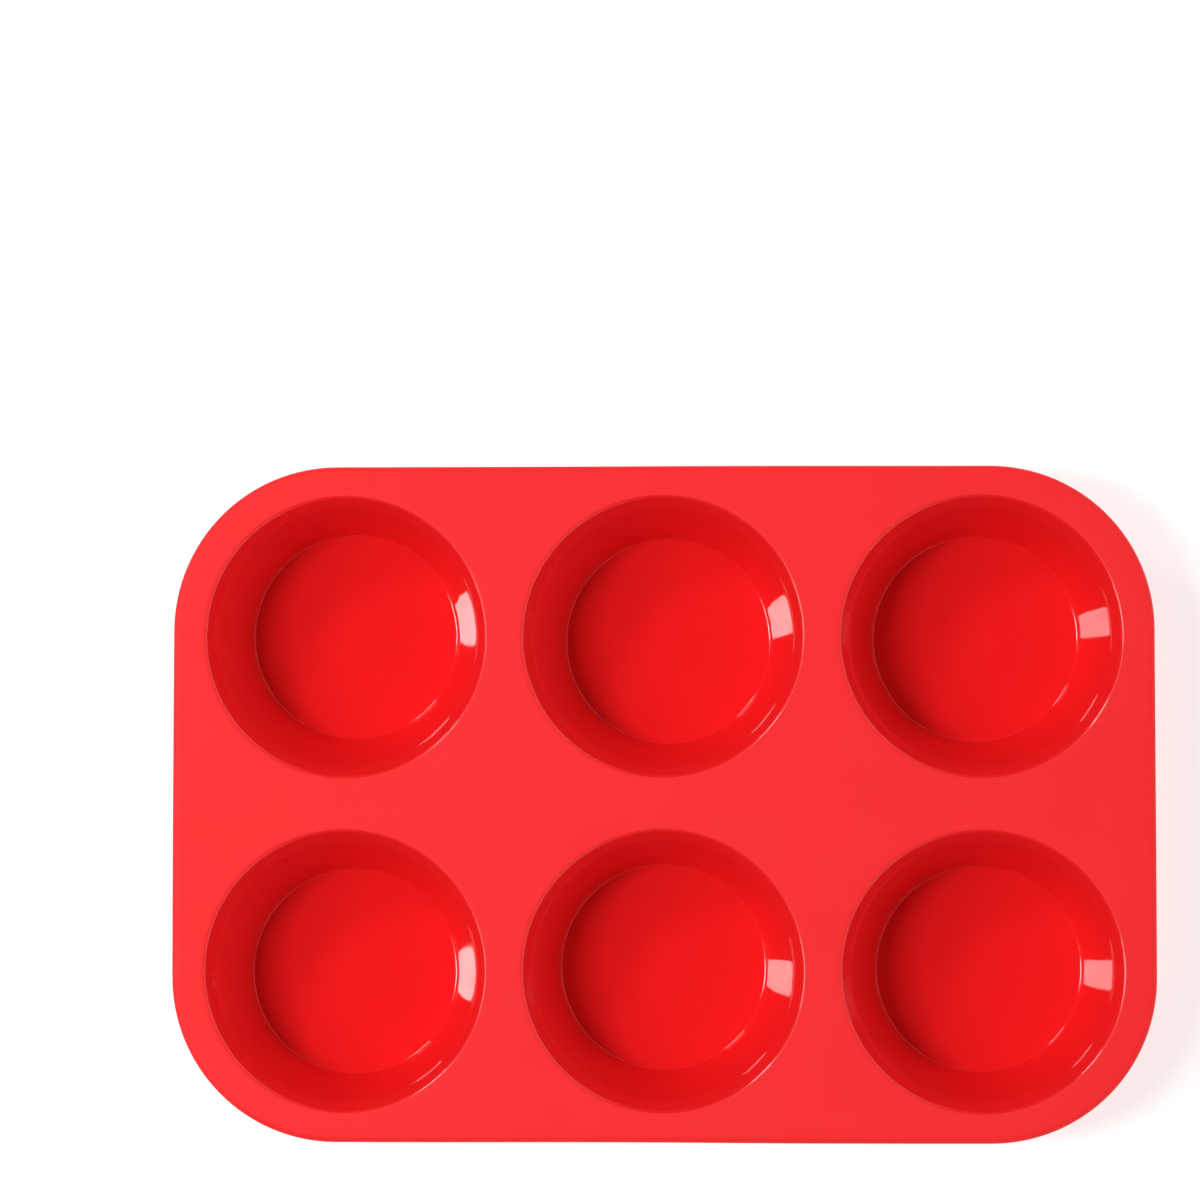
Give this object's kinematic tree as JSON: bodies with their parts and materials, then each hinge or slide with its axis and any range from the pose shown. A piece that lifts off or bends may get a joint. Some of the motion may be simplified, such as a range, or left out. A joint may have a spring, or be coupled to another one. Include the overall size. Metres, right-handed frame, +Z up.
{
  "type": "silicone muffin tray",
  "caption": "Moulded silicone muffin tray: a flat deck with large round corners and a beaded edge, and round tapered cups that hang from it in rows.",
  "frame": {"origin": "middle of the tray, on the plane that the cups stand on", "axes": "+X along a row of cups, which is the tray's length; +Y from the front row to the back row; +Z up, out of the cups' mouths"},
  "size_m": [0.26, 0.179, 0.032],
  "materials": {
    "silicone": "glossy moulded red silicone rubber, smooth inside and out, with a slight satin variation on the deck"
  },
  "bodies": {
    "root": {"deck": "silicone", "rim_bead": "silicone", "cup_back_left": "silicone", "cup_back_middle": "silicone", "cup_back_right": "silicone", "cup_front_left": "silicone", "cup_front_middle": "silicone", "cup_front_right": "silicone"}
  },
  "joints": []
}
